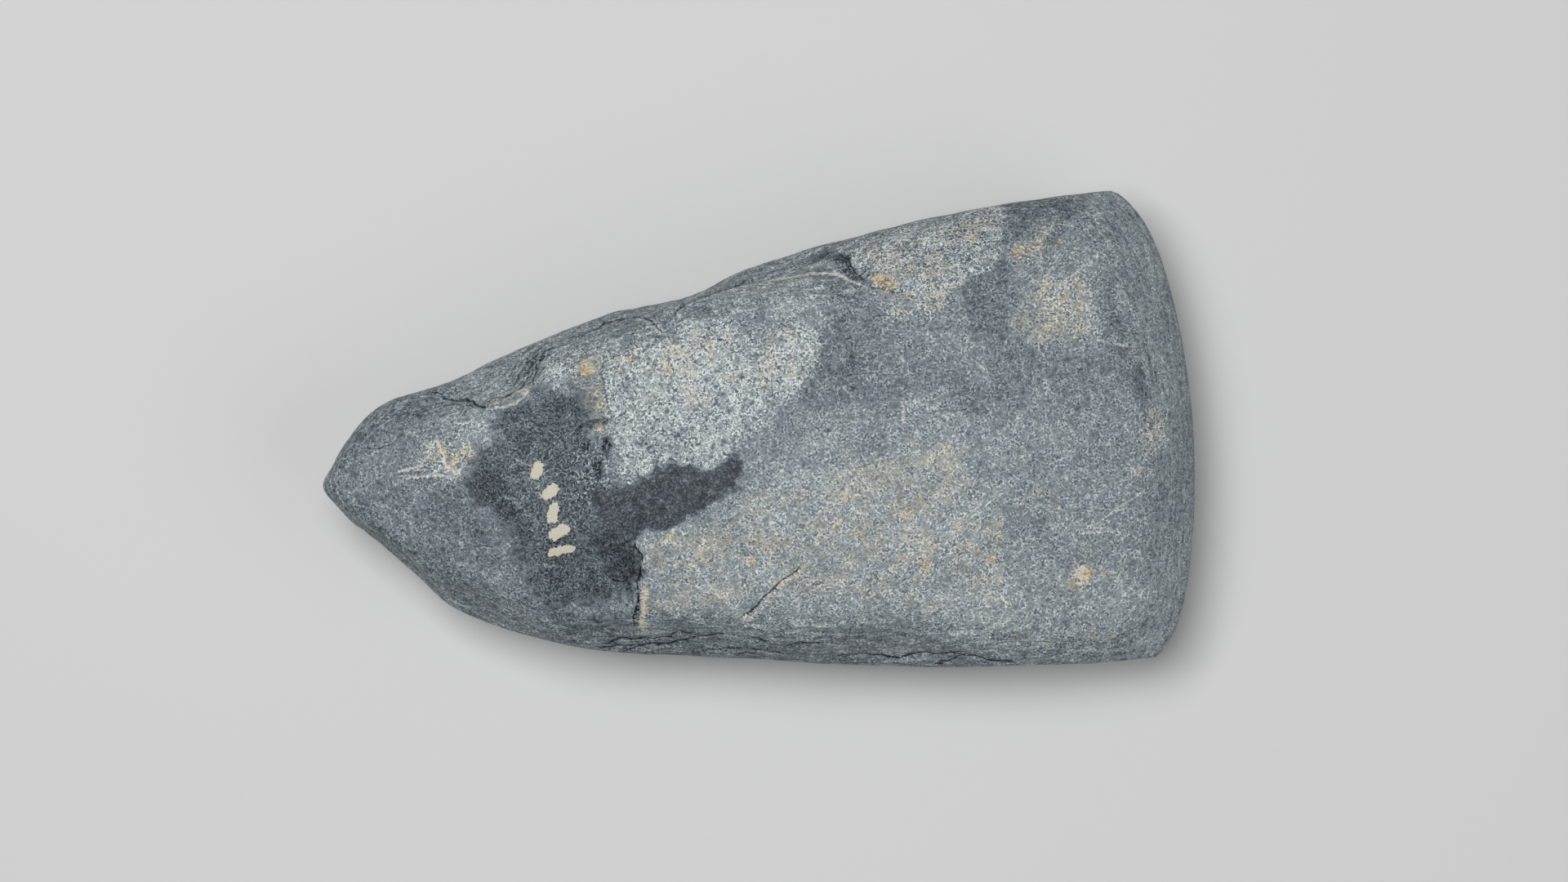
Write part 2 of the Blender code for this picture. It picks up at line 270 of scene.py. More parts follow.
# Creamy soil in the grain: (strength, points of the outline).
TAN_STAINS = (
    (0.42, (16.5, 28), (26, 30.5), (38, 32.5), (38.3, 26.4), (36.8, 25.1), (34.6, 23.1), (32, 22.5),
     (28, 18), (22, 18), (19.5, 20), (18.5, 24)),
    (0.75, (19.5, 20), (22.5, 19.6), (28.7, 20.5), (28.5, 18), (25, 18.5), (21.5, 17.2), (20, 17.7)),
    (0.75, (38.5, 25.4), (42.4, 25.2), (44, 27), (46.8, 30.5), (45.5, 30.5), (41.5, 28)),
    (0.85, (37.6, 15), (40.8, 20), (44.6, 22.3), (49.8, 22.5), (50, 14), (46.6, 12.9), (42.6, 12.4),
     (37.9, 14)),
    (0.6, (56, 2), (59.5, 2.5), (60, -2.5), (57, -5), (55, -2)),
    (0.46, (-16, -11), (-1.5, -5.5), (12.5, -2), (28.5, -1.5), (33.5, -8), (35.5, -17.5), (34, -24),
     (24, -25), (10, -21), (0, -20.5), (-12.5, -22.5), (-17.5, -22.5)),
    (0.68, (6.5, -8.5), (15, -3), (24.5, -0.5), (30, -1.5), (31, -5.5), (25.5, -10), (28.5, -14),
     (30, -19.5), (24.5, -22), (18, -18.5), (11.5, -13)),
    (0.64, (-16, -11), (-3, -7.5), (3.5, -11), (6.5, -16.5), (1.5, -19.5), (-6, -21.5), (-18, -22.5),
     (-17.5, -17.5)),
    (0.9, (43.6, -19), (46.5, -18.8), (47.6, -21.5), (45.8, -23.3), (43, -24), (42.6, -22)),
    (0.75, (-48.5, 3.5), (-45, 5.5), (-41, 3.5), (-42, 0), (-46, -0.5)),
    (0.35, (-20, 17), (-5, 18), (9, 18), (8, 10), (-2, 6), (-12, 8), (-20, 10)),
    (1.1, (18.4, 24.6), (19.8, 24.6), (22.3, 22), (21.7, 21.7), (20.4, 22.5), (18.6, 23.6)),
    (1, (-26.1, 15.9), (-24.6, 16.7), (-21.9, 16), (-21.2, 12), (-21, 7.5), (-23, 6.9), (-24.2, 9),
     (-25.4, 12.8)),
    (0.9, (-38.5, 9.3), (-33.5, 9.8), (-31.5, 12.5), (-32.3, 13), (-35, 11), (-38.5, 10.3)),
)
# Small rusty spots: (x, y, radius, strength).
RUST_SPOTS = (
    (-45.3, 3.7, 1, 1.1), (-43.5, 2.2, 1, 1.1), (-41.8, 2.9, 1, 1), (-46.2, 5, 0.8, 0.9),
    (-23.8, 13.9, 1.1, 1.8), (-17.5, 15.2, 1, 1.2), (-11.7, 12.9, 1, 1.2), (-5.9, 16.3, 1, 0.9),
    (-5.3, 14.8, 0.8, 0.9), (-2.7, 16.8, 1, 0.7), (-15.5, 18.4, 0.7, 0.9), (-22.3, 5.4, 0.9, 1.4),
    (-22, 8.5, 0.9, 1.1), (-22.3, 11, 0.8, 0.9), (12, -7.5, 0.9, 1), (9.8, -10.6, 1.1, 0.9),
    (13.3, -12.8, 1.2, 0.8), (20.8, -10.2, 1.2, 1.1), (23.1, -8.2, 0.9, 1), (-2.1, -15.2, 1, 1.2),
    (6.6, -14.6, 0.9, 0.9), (22.9, -17.7, 1, 1.6), (22.6, -19, 0.8, 1), (19.9, -16.3, 1.1, 1),
    (29.1, -15.8, 1, 1.2), (27.9, -13.2, 1, 0.9), (15.3, 1, 0.8, 0.7), (12.7, -1.6, 0.9, 0.8),
    (24.8, -3.3, 1, 0.8), (22.6, -0.5, 0.9, 0.8), (27.9, -1.4, 1.1, 0.9), (32.3, -17.6, 1, 1.4),
    (33.1, -14.7, 0.9, 1), (30.9, -16.3, 0.8, 0.9), (30.8, -9.7, 0.9, 0.8), (39.6, -8.3, 0.9, 0.8),
    (41.1, -8.9, 0.9, 1), (37.4, -9.9, 0.8, 0.8), (42.2, -11.2, 1, 0.8), (40.1, -14, 0.8, 0.7),
    (45.6, -21.3, 1.7, 1.1), (48.6, -21.3, 0.9, 0.9), (43.4, -22.8, 1, 1), (54.6, -7, 1, 1),
    (46.7, -30.2, 1, 0.9), (49.7, -30.4, 0.9, 0.9), (40, -30.9, 0.9, 0.7), (35.3, -29.3, 0.9, 0.8),
    (-12.9, -15, 1, 0.9), (-10.5, -15.2, 0.8, 0.9), (-9.2, -14.1, 0.8, 0.8), (-7.6, -14.5, 0.9, 0.8),
    (-13.8, -11.2, 0.8, 1.2), (19.7, 23.6, 1, 1.8), (20.9, 22.7, 1, 1.7), (24, 24.5, 1, 1.1),
    (22.6, 20.6, 0.7, 0.9), (33.5, 28.8, 0.9, 0.9), (40.2, 25.8, 1.4, 1.3), (43.2, 26.3, 0.8, 0.9),
    (46.4, 26.9, 0.8, 0.9), (45.9, 19, 1, 1), (43.3, 20.6, 0.9, 0.7), (43, 14.6, 1.2, 0.8),
    (48, 14.2, 0.9, 0.8), (48.6, 17.7, 0.8, 0.8), (52.5, -3, 1, 0.5), (57, 0, 1, 0.6),
)
# Darker and paler grey stretches: (change of tone, softness, points of the outline). Some are the stone's own
# tone, and some, marked below, are painted shade on a scar and on facets.
TONE_CHANGES = (
    (-0.06, 3, (-64, 0), (-57, 9.5), (-50, 12.5), (-45, 13.5), (-48, 7), (-47, 0), (-43, -3), (-40, -8.5),
     (-37.5, -15.5), (-34, -24), (-43, -21), (-49.5, -15), (-57, -7.5)),
    (-0.085, 4, (-49, -4), (-43, 1), (-39, 4), (-33.5, -12), (-33.5, -18.5), (-20.5, -18), (-19.6, -23),
     (-20.5, -25.5), (-30, -25), (-34, -21), (-38, -14), (-44, -9)),
    (0.05, 2.5, (-45, 14.5), (-36, 19), (-27.5, 22.5), (-27, 17.5), (-31, 15), (-32.5, 11), (-36, 10.4),
     (-42, 12)),
    (0.095, 1.5, (-6, 23), (0, 24.8), (9, 25), (12, 24.5), (10, 20.5), (4, 20), (-3, 20.5)),
    (-0.06, 0.8, (18.4, 24.8), (20, 24.8), (22.6, 22), (21.6, 21.4), (20.2, 22.2), (18.4, 23.6)),
    (0.035, 4, (26, -20), (40, -19), (58, -24), (56, -31), (26, -30)),
    # Painted shadow: a dark band on a scar's floor, next to the upper rim.
    (-0.18, 1, (9, 27.3), (12.5, 28.8), (14.5, 28.6), (16, 26), (15.3, 25.6), (13.6, 27), (11.8, 27.3)),
    (-0.07, 0.8, (14.5, 27.8), (16.5, 25.3), (18.5, 23.2), (17.6, 22.9), (15.2, 24.2), (13, 26.8)),
    (-0.08, 1.4, (14, 22.6), (16.8, 21.6), (19.6, 19), (20.2, 17.6), (18.6, 17.8), (16.5, 19.6), (13, 21.8)),
    # Painted shade: a darker band along a facet.
    (-0.08, 2, (11, 17.5), (14, 19.5), (19.5, 17.5), (26, 12.5), (33.5, 7), (33, 3), (28.5, 4.5), (24, 8),
     (20, 5.5), (13, 6), (5, 4), (3.5, 5.5), (7.5, 9), (10, 12.5)),
    (-0.05, 0.9, (10.6, 16), (14.5, 17.2), (16, 12), (13.5, 9), (9.5, 9), (8.8, 10.5), (9.9, 12.8)),
    (-0.05, 2, (7, 8.4), (9.7, 8.7), (11.8, 7.3), (11.3, 5.1), (9.2, 3), (6.8, 3.6)),
    # Painted shade: a darker facet beside the tan stain.
    (-0.12, 0.9, (32.2, 22.7), (34.6, 23.1), (36.8, 25.1), (38.2, 24.2), (38, 20.8), (39.5, 19), (38, 16.4),
     (37.6, 14.9), (34.7, 14.3), (31.1, 16.2), (31.5, 19.7)),
    (-0.08, 1.2, (31.1, 16), (37.6, 14.5), (41, 12), (41, 7.5), (37, 3), (33, 4.5), (34, 8), (32, 12)),
    (-0.03, 4, (41, 14), (47, 10), (53.5, 6.5), (58.5, 8), (61.5, 1), (61.5, -12.5), (57, -23), (52, -14.5),
     (47.5, -2), (42, 3.5)),
    (-0.12, 2, (50.5, 22), (52.8, 22), (54.6, 16), (56, 9.5), (57.3, 4), (55.6, 3), (52.5, 8), (51.5, 14)),
    (-0.11, 0.9, (38.6, 33.5), (44, 34), (49, 34), (50.5, 31.8), (47.8, 30.2), (46.3, 31.4), (42.6, 28.4),
     (40.5, 28.2), (38.6, 26.6)),
    (-0.05, 1.5, (43.6, 28.4), (46.4, 30), (48, 28.6), (45.4, 26.6), (44, 26.8)),
    (-0.13, 1.5, (-16, 6), (-10, 4.5), (-9.5, 1.5), (-14.5, 0.5), (-16.5, 2)),
    (-0.05, 2, (1, 3.5), (5, 4.5), (9, 2), (5, -2), (-1, -3)),
    (-0.09, 1, (-18, 17.5), (-13.5, 18.2), (-11, 18.6), (-10.2, 16.8), (-14, 16.2), (-17.5, 16.6)),
    (-0.06, 1.5, (-28, 1), (-24, 1.5), (-20, -1), (-19, -3.8), (-24, -4), (-28, -3)),
    (-0.08, 1.5, (-26.5, 9.8), (-24, 11), (-22.6, 9.5), (-22.6, 7.4), (-25, 7)),
    (0.06, 4, (-16, -11), (-1.5, -5.5), (12.5, -2), (28.5, -1.5), (33.5, -8), (35.5, -17.5), (36, -27),
     (24, -29.5), (5, -27), (-12.5, -24.5), (-17.5, -22.5)),
    (-0.05, 2, (-31.5, -24.5), (-19, -25), (-7, -24.8), (2.5, -26), (5, -28.5), (-10, -31), (-29, -28)),
    (-0.05, 1.5, (-15.5, -22.5), (-11, -21.5), (-7, -22.5), (-8, -25), (-14, -24.8)),
    (-0.04, 2, (-12, -27.5), (2, -29), (14, -30.5), (14, -34), (-12, -33)),
    (-0.05, 2, (5, -25), (12, -24), (21, -25.5), (30, -27.5), (38, -29.5), (30, -30.5), (15, -29.5),
     (7, -27.5)),
)
# Cracks at the foot of a step, drawn as dark lines of painted shade in the crevice: (strength, tan of the
# riser beside it, points). The riser lies on the left of the line's way.
CRACKS = (
    (1.7, 0.3, (-18.8, -10.6), (-18.4, -12.2), (-17.8, -13.3), (-17.7, -14.7)),
    (1.5, 0, (-17.7, -14.2), (-18.3, -15.8), (-18.6, -16.9), (-18.6, -18.1), (-19, -19.8), (-19.3, -21.2),
     (-19.6, -22.8), (-20, -24.2)),
    (0.5, 1.5, (-18, -17.2), (-18.1, -18.2), (-18.7, -19.6), (-18.8, -21.4), (-19.1, -23.9), (-19.2, -25)),
    (1.2, 0.6, (5.5, -16.5), (2.5, -18.5), (-1.1, -21.1), (-2, -22), (-3.3, -23.1), (-4.8, -24)),
    (0.8, 0, (22.6, 20.6), (22.1, 21.2), (21.3, 21.9), (20.1, 22.3), (18.5, 22.9), (17.3, 23.7)),
    (0.9, 0, (18.6, 23.4), (17.8, 23.8), (16.9, 24.5), (16.1, 25.3), (15.4, 26.4), (14.6, 27.7), (13.8, 29)),
    (0.6, 1.1, (21.6, 21.9), (20.7, 22.6), (19.7, 23.3), (18.8, 24.1)),
    (1, 0, (-47.2, 13.2), (-45.9, 12.5), (-44.8, 11.7), (-43.3, 11.4), (-41.5, 11.3)),
    (1.8, 0, (-43.6, 11.4), (-41.5, 11.3), (-40.4, 10.8), (-39.2, 10.1), (-38.4, 9.7), (-37.6, 9.9)),
    (0.7, 0, (-58.8, 5.1), (-56.5, 5), (-54.7, 5.2), (-53.4, 5.5), (-51.6, 6.3)),
    (0.8, 0, (-23.6, -15.6), (-22.1, -16.7), (-20.7, -17.1), (-19.9, -16.7), (-19.2, -15.6)),
    (1.1, 0, (-26.5, -26.6), (-22.9, -26.6), (-18.7, -26.7), (-14.8, -26.8), (-13, -26.6), (-11.1, -26.1),
     (-6, -25.7)),
    (1, 0, (-25.5, -26), (-22.8, -25.6), (-18.3, -25.6), (-16.8, -25.9), (-14.9, -25.5), (-13.1, -25.3),
     (-11, -26)),
    (0.95, 0, (-26.5, -27.2), (-21.1, -27.4), (-19.3, -26.9), (-17.5, -26.7)),
    (0.95, 0, (-4.4, -26.6), (-2.2, -27.1), (0.4, -27.5)),
    (1.1, 0, (1.2, -28.3), (2.9, -28.2), (4.9, -28.1), (8.2, -28.3)),
    (0.8, 0, (-6.4, -29.2), (-4.8, -29), (-3.2, -29.4), (-1.8, -30)),
    (1.1, 0, (8.8, -30.6), (12.9, -30.7), (15, -30.8), (17.1, -31.4), (20.1, -31.2), (23.7, -31.3),
     (28, -31.1)),
    (0.95, 0, (22.4, -32.8), (26.1, -32.2), (27.3, -31.8), (29.1, -32.1), (32, -33), (36, -33.4)),
    (0.9, 0, (-13.1, 22), (-15.6, 21.9)),
    (0.8, 0, (-12.6, 20), (-13.3, 21.1), (-14.1, 21.4)),
    (0.7, 0.7, (-13.3, -10.9), (-15.4, -11.8)),
)
# Thinner seams, where the stone's layers crop out beside the cracks: (strength, points).
SEAMS = (
    (0.8, (-26.5, 18.7), (-23.9, 18.9), (-22.5, 19.5), (-20, 20.9), (-17.6, 21.4), (-14.9, 21), (-14, 20.4),
     (-12.1, 18.6), (-10.8, 18.3)),
    (0.8, (-10.9, 20), (-10.1, 21.4), (-8.4, 22.9), (-6.3, 23.3), (-2.9, 24), (-1.4, 24.5), (1, 25.6)),
    (0.8, (-31.9, 11.8), (-31.2, 13.8), (-30.7, 15.6), (-29.5, 16.9), (-26.9, 17.8)),
    (0.85, (-36.4, 10.6), (-33.9, 11.7), (-32.8, 13), (-32.1, 14.7), (-31.2, 16.2), (-29.5, 17.6)),
    (0.75, (-35.5, 11.8), (-34, 13), (-33, 15), (-31.5, 17), (-28.5, 18.9)),
    (0.6, (-37, 11.8), (-35, 13.6), (-33.8, 15.8), (-32, 17.8)),
    (0.7, (13.2, 28.2), (14.7, 26.6), (15.8, 25), (16.7, 24.1), (17.4, 23.5)),
    (0.5, (13, 27.2), (14.4, 25.8), (15.5, 24.5), (16.6, 23.6)),
    (0.7, (19, 19.5), (19.6, 18.9), (20.3, 17.9)),
    (0.4, (-18.7, -15.1), (-19.3, -16.6), (-19.6, -18.1), (-19.8, -21)),
    (0.5, (-0.5, 18.4), (0.1, 17.2), (0.7, 15.7)),
    (0.6, (-57.8, -6.2), (-55.6, -6.7), (-54.5, -7.8), (-53.6, -9.4), (-52.5, -11)),
    (0.6, (-60.5, -5.3), (-58.7, -7.5), (-56.4, -9.2), (-54.7, -10.8), (-52, -12.6)),
    (0.4, (-59.5, -8), (-57, -10), (-55, -11.8)),
    (0.6, (-12, -28.2), (-6, -28), (-2, -28.6), (2, -29.6)),
    (0.5, (10, -32.2), (14, -32), (19, -32.6), (24, -33.2)),
    (0.5, (-47.6, 12.2), (-45.6, 10.9), (-43.5, 10.5), (-41, 10.2), (-39.6, 9.4)),
    (0.6, (57, 12.6), (57.9, 9), (59, 4.5)),
    (0.5, (-21.4, 15.8), (-21.3, 12), (-20.9, 9), (-20.7, 6.5)),
)
# Worn arrises, fine pale lines, and the larger scratches: (strength, points).
PALE_LINES = (
    (1, (3.1, 25), (5.9, 25.1), (7.7, 25.2), (10.1, 25.3), (13.7, 25.1), (15.2, 24), (16.9, 22.9),
     (18, 22.5)),
    (0.9, (-38.9, 9.3), (-36.3, 9.5), (-34.4, 9.8), (-33.2, 10.4), (-32.2, 11.5), (-31.8, 12.4)),
    (0.6, (-17, 21), (-14.9, 20.5), (-13.4, 19.2), (-11.6, 18), (-10.6, 17.9)),
    (0.6, (-16.8, 18.9), (-16, 18.2), (-14.6, 17.9)),
    (1, (-53.2, 1.2), (-51.3, 1.5), (-48.7, 2), (-47.9, 2.9), (-46.2, 4.3)),
    (0.9, (-46.8, 1.1), (-45.7, 0.4), (-44, -0.1), (-43.1, 0.5)),
    (1.1, (-46.5, 6.4), (-45.6, 4.3), (-45.2, 2), (-43.3, 0.5), (-41.8, 2.3)),
    (0.9, (-52, 0.2), (-48.6, 0.6), (-45.3, 0.3), (-43.1, -1.2)),
    (0.8, (-48.5, 5.8), (-47.3, 4.6), (-45.7, 4.2)),
    (0.8, (-43.6, 7.9), (-41.2, 7.4), (-39.8, 8.5)),
    (0.8, (-35.8, 2.4), (-33.9, 1.3), (-31, 0.4)),
    (0.9, (-37.7, -3.3), (-35.9, -3.8), (-34.7, -4.5), (-33.6, -4.5)),
    (0.7, (-35.7, -4), (-33.7, -6)),
    (0.7, (-33.1, -13.2), (-28.6, -14.5)),
    (0.7, (-29.2, -19), (-27, -20.5)),
    (0.7, (-31, -21.1), (-29.6, -19.5)),
    (0.8, (-25, -23.2), (-22.7, -24.7)),
    (0.55, (44.3, -14.9), (47.9, -14.1), (50.1, -12.7), (55.9, -9.6)),
    (0.6, (44, -15), (52.5, -15.5)),
    (0.5, (48.5, -17.7), (53.6, -15.5)),
    (0.6, (45, -9), (47.1, -7.8)),
    (0.9, (32.9, -22.4), (35, -25.4)),
    (0.5, (52.5, -26.3), (54.6, -25.2)),
    (0.4, (49.4, -30.6), (53, -29.4)),
    (0.6, (22, 13.6), (21.6, 8.6)),
    (0.8, (20.9, 6.3), (21.4, 4.9), (21.1, 1.6)),
    (0.6, (12.6, 9.2), (13.9, 7.4), (15.2, 5.9)),
    (0.5, (31.5, 11.5), (34.5, 8.5)),
    (0.9, (51.9, 11.9), (56.2, 10.9)),
    (0.5, (55, 11.7), (56.4, 11.7)),
    (0.4, (49.2, 12.8), (53, 11.7)),
    (0.5, (51, 16), (54, 16.7)),
    (0.5, (39.2, 11), (38.9, 7)),
    (0.6, (50.6, 30.4), (52, 30.9), (53.6, 31), (55.6, 31.1)),
    (0.7, (51.9, 18.3), (52.7, 18.6), (53.2, 18)),
    (0.6, (44, 33.6), (46.2, 33.7)),
)
# Strokes laid on the upper face: (x, y, turn in degrees, half length, half width).
PAINT_DABS = (
    (-31.7, -0.1, 60, 1.3, 0.75),
    (-30.1, -3.2, 35, 1.5, 0.8),
    (-29.9, -6.3, 75, 1.5, 0.8),
    (-29.3, -9.0, 30, 1.6, 0.8),
    (-29.2, -11.8, 5, 2.0, 0.6),
)
DARK_SMUDGES = (
    (-22.8, 6.1, 3, 2.4, 0.55),
    (-24.2, 2.8, 60, 1.3, 0.8),
    (-21.6, 2.4, 80, 1.4, 0.8),
    (-22.8, -0.6, 85, 1.5, 0.7),
    (10.4, 2.7, 20, 0.6, 0.4),
    (8.4, -8.3, 60, 0.4, 0.4),
)


def length_setting(name, description, default):
    return FloatProperty(name=name, description=description, default=default, unit="LENGTH")


def colour_setting(name, description, default):
    return FloatVectorProperty(name=name, description=description, default=default, subtype="COLOR")


def share_setting(name, description, default):
    return FloatProperty(name=name, description=description, default=default, subtype="FACTOR", min=0, max=1)


class AxeShapeSettings(PropertyGroup):
    """How finely the axe head is modelled and how deep its worn relief is."""

    mesh_step: length_setting("Mesh step", "Distance between the points of the axe head's mesh", 0.50 * MM)
    arris_wear: IntProperty(
        name="Arris wear",
        description="How many times the mesh is smoothed, which rounds the scars' arrises", default=4,
    )
    wave_depth: length_setting(
        "Wave depth", "Depth of the broad waves that grinding by hand left in the faces", 0.13 * MM,
    )
    dent_depth: length_setting(
        "Dent depth", "Depth of the small dents and swells of the worn surface", 0.05 * MM,
    )
    layer_depth: length_setting(
        "Layer depth", "Depth of the stone's layers where they crop out on steep flanks", 0.22 * MM,
    )
    crack_depth: length_setting("Crack depth", "Depth of the cracks at the foot of steps", 0.25 * MM)


class AxeStoneSettings(PropertyGroup):
    """Colours and grain of the stone."""

    dark_grain: colour_setting("Dark grain", "Colour of the darkest grains", (0.010, 0.012, 0.016))
    stone_grey: colour_setting("Stone grey", "Colour of the stone half way", (0.237, 0.281, 0.312))
    pale_grain: colour_setting("Pale grain", "Colour of the palest grains", (0.88, 0.91, 0.90))
    soil_tint: colour_setting("Soil tint", "Tint of pale soil left in the grain", (1.0, 0.938, 0.84))
    rust_tint: colour_setting("Rust tint", "Tint of the small rusty spots", (1.0, 0.84, 0.63))
    paint_cream: colour_setting("Paint cream", "Colour of the old paint dabs", (0.74, 0.71, 0.58))
    thread_spacing: length_setting("Thread spacing", "Distance between the grain's pale threads", 0.32 * MM)
    layer_spacing: length_setting("Layer spacing", "Thickness of the layers on the flanks", 0.55 * MM)
    grain_depth: length_setting("Grain depth", "Height of the threads over the stone", 0.10 * MM)
    contrast: share_setting("Contrast", "Difference of tone between threads and stone", 0.38)
    roughness: share_setting("Roughness", "Roughness of the bare stone", 0.72)
    sheen: share_setting("Sheen", "How much light the stone's surface mirrors", 0.22)
    coat_roughness: share_setting("Coat roughness", "Roughness of the dark coat", 0.55)


class AxeStageSettings(PropertyGroup):
    """Floor, light and camera."""

    floor_colour: colour_setting("Floor colour", "Colour of the plain floor", (0.82, 0.82, 0.81))
    view_width: length_setting("View width", "Width of the view at the height of the rim", 0.2304)
    lens: FloatProperty(name="Lens", description="Focal length in millimetres", default=100.0)
    elevation: FloatProperty(
        name="Elevation", description="Height of the camera over the horizon", default=math.radians(88),
        unit="ROTATION",
    )
    roll: FloatProperty(
        name="Roll", description="How far the axe's line rises to the right", default=math.radians(4.5),
        unit="ROTATION",
    )
    key_power: FloatProperty(
        name="Key light", description="Power of the large soft light", default=4.2, unit="POWER",
    )
    fill_power: FloatProperty(
        name="Fill light", description="Power of the second light", default=1.0, unit="POWER",
    )
    ambient: FloatProperty(name="Ambient", description="Strength of the light from all round", default=0.14)


def smooth_step(low, high, value):
    """0 at the low value and beyond, 1 at the high one and beyond, and eased between them."""
    t = np.clip((value - low) / (high - low), 0.0, 1.0)
    return t * t * (3 - 2 * t)


def nearest_on(places, points):
    """Where each place lies beside a line of points: its distance, positive on the left of the line's way,
    and how far it is from the nearer end of the line, measured along it."""
    corners = np.array(points, float)
    lengths = np.linalg.norm(np.diff(corners, axis=0), axis=1)
    nearest = np.full(len(places), np.inf)
    beside = np.zeros(len(places))
    from_end = np.zeros(len(places))
    gone = 0.0
    for start, end, length in zip(corners, corners[1:], lengths):
        way = (end - start) / length
        offset = places - start
        along = np.clip(offset @ way, 0.0, length)
        away = np.linalg.norm(offset - along[:, None] * way, axis=1)
        side = np.sign(way[0] * offset[:, 1] - way[1] * offset[:, 0])
        closer = away < nearest
        nearest = np.where(closer, away, nearest)
        beside = np.where(closer, side * away, beside)
        here = gone + along
        from_end = np.where(closer, np.minimum(here, lengths.sum() - here), from_end)
        gone += length
    return beside, from_end


def inside(places, points):
    """Which places lie inside a closed outline."""
    odd = np.zeros(len(places), bool)
    for i, (x1, y1) in enumerate(points):
        x0, y0 = points[i - 1]
        if y0 == y1:
            continue
        crosses = (y0 > places[:, 1]) != (y1 > places[:, 1])
        at = x0 + (places[:, 1] - y0) * (x1 - x0) / (y1 - y0)
        odd ^= crosses & (places[:, 0] < at)
    return odd


def patch(places, points, soft):
    """1 well inside a closed outline and 0 well outside, over a soft border of this width."""
    distance = np.abs(nearest_on(places, (*points, points[0]))[0])
    signed = np.where(inside(places, points), distance, -distance)
    return smooth_step(-soft / 2, soft / 2, signed)


def lay_lines(places, lines, with_risers=False):
    """Fields that the material turns into crisp lines: the distance beside the nearest line, how strongly the
    line shows there, and the tan of the riser on its left. Rows are (strength, points), and with risers the
    riser's tan comes before the points."""
    riser_starts, riser_fades, riser_ends = RISER_BAND
    nearest = np.full(len(places), np.inf)
    beside = np.full(len(places), LINE_REACH)
    shown = np.zeros(len(places))
    riser = np.zeros(len(places))
    for strength, *points in lines:
        tan = points.pop(0) if with_risers else 0.0
        side, from_end = nearest_on(places, points)
        away = np.abs(side)
        tip = smooth_step(0.0, LINE_TIP, from_end)
        closer = away < nearest
        nearest = np.where(closer, away, nearest)
        beside = np.where(closer, side, beside)
        shown = np.where(closer, strength * tip * smooth_step(LINE_REACH, LINE_WHOLE, away), shown)
        if tan:
            band = smooth_step(0.0, riser_starts, side) * smooth_step(riser_ends, riser_fades, side)
            riser = np.maximum(riser, tan * tip * band)
    return np.clip(beside, -LINE_REACH, LINE_REACH), shown, riser


def scratch_lines():
    """Fine straight scratches in two main directions, scattered over the upper face."""
    chance = np.random.default_rng(SCRATCH_SEED)
    lines = []
    for i in range(SCRATCHES):
        degrees = chance.normal(*(SCRATCH_TURN if i % 3 else CROSS_SCRATCH_TURN))
        turn = math.radians(degrees)
        half = chance.uniform(*SCRATCH_HALF_LENGTH) * np.array((math.cos(turn), math.sin(turn)))
        middle = np.array((chance.uniform(*SCRATCH_ALONG), chance.uniform(*SCRATCH_ACROSS)))
        lines.append((chance.uniform(*SCRATCH_STRENGTH), middle - half, middle + half))
    return lines


def lay_strokes(places, strokes):
    """1 along the middle of each blunt stroke, a half at its border and 0 beyond."""
    total = np.zeros(len(places))
    for x, y, degrees, half_length, half_width in strokes:
        turn = math.radians(degrees)
        offset = places - np.array((x, y))
        along = np.abs(offset @ np.array((math.cos(turn), math.sin(turn))))
        across = offset @ np.array((-math.sin(turn), math.cos(turn)))
        past_end = np.maximum(along - half_length + half_width, 0.0)
        total = np.maximum(total, 1.0 - 0.5 * np.hypot(past_end, across) / half_width)
    return np.clip(total, 0.0, 1.0)


def noise_field(points, name):
    """The named sum of smooth noises at points that are given in millimetres."""
    total = np.zeros(len(points))
    for strength, size, shift in NOISES[name]:
        total += strength * np.array([noise.noise(Vector(p)) for p in (points + shift) / size])
    return total


def read_vectors(data, name):
    flat = np.empty(len(data) * 3)
    data.foreach_get(name, flat)
    return flat.reshape(-1, 3)


def fine_copy(name, step, rounds):
    """A finely and evenly meshed copy of the solid, with its arrises worn."""
    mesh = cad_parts[NODE].data.copy()
    bm = bmesh.new()
    bm.from_mesh(mesh)
    bmesh.ops.remove_doubles(bm, verts=bm.verts, dist=WELD)
    bm.to_mesh(mesh)
    bm.free()
    rough = bpy.data.objects.new(name, mesh)
    bpy.context.scene.collection.objects.link(rough)
    remesh = rough.modifiers.new("even_mesh", "REMESH")
    remesh.mode = "VOXEL"
    remesh.voxel_size = step
    bm = bmesh.new()
    bm.from_object(rough, bpy.context.evaluated_depsgraph_get())
    bpy.data.objects.remove(rough)
    every_way = {"use_axis_x": True, "use_axis_y": True, "use_axis_z": True}
    for _ in range(rounds):
        bmesh.ops.smooth_vert(bm, verts=bm.verts, factor=WEAR_FACTOR, **every_way)
    fine = bpy.data.meshes.new(name)
    bm.to_mesh(fine)
    bm.free()
    return fine


def edge_reach(points):
    """How far the cutting edge reaches along +X at each point's place across the axe."""
    across = np.linspace(LOW.y, HIGH.y, EDGE_STRIPS + 1)
    strip = np.clip(np.digitize(points[:, 1], across) - 1, 0, EDGE_STRIPS - 1)
    furthest = np.array([points[strip == i, 0].max() for i in range(EDGE_STRIPS)])
    return np.interp(points[:, 1], (across[1:] + across[:-1]) / 2, furthest)


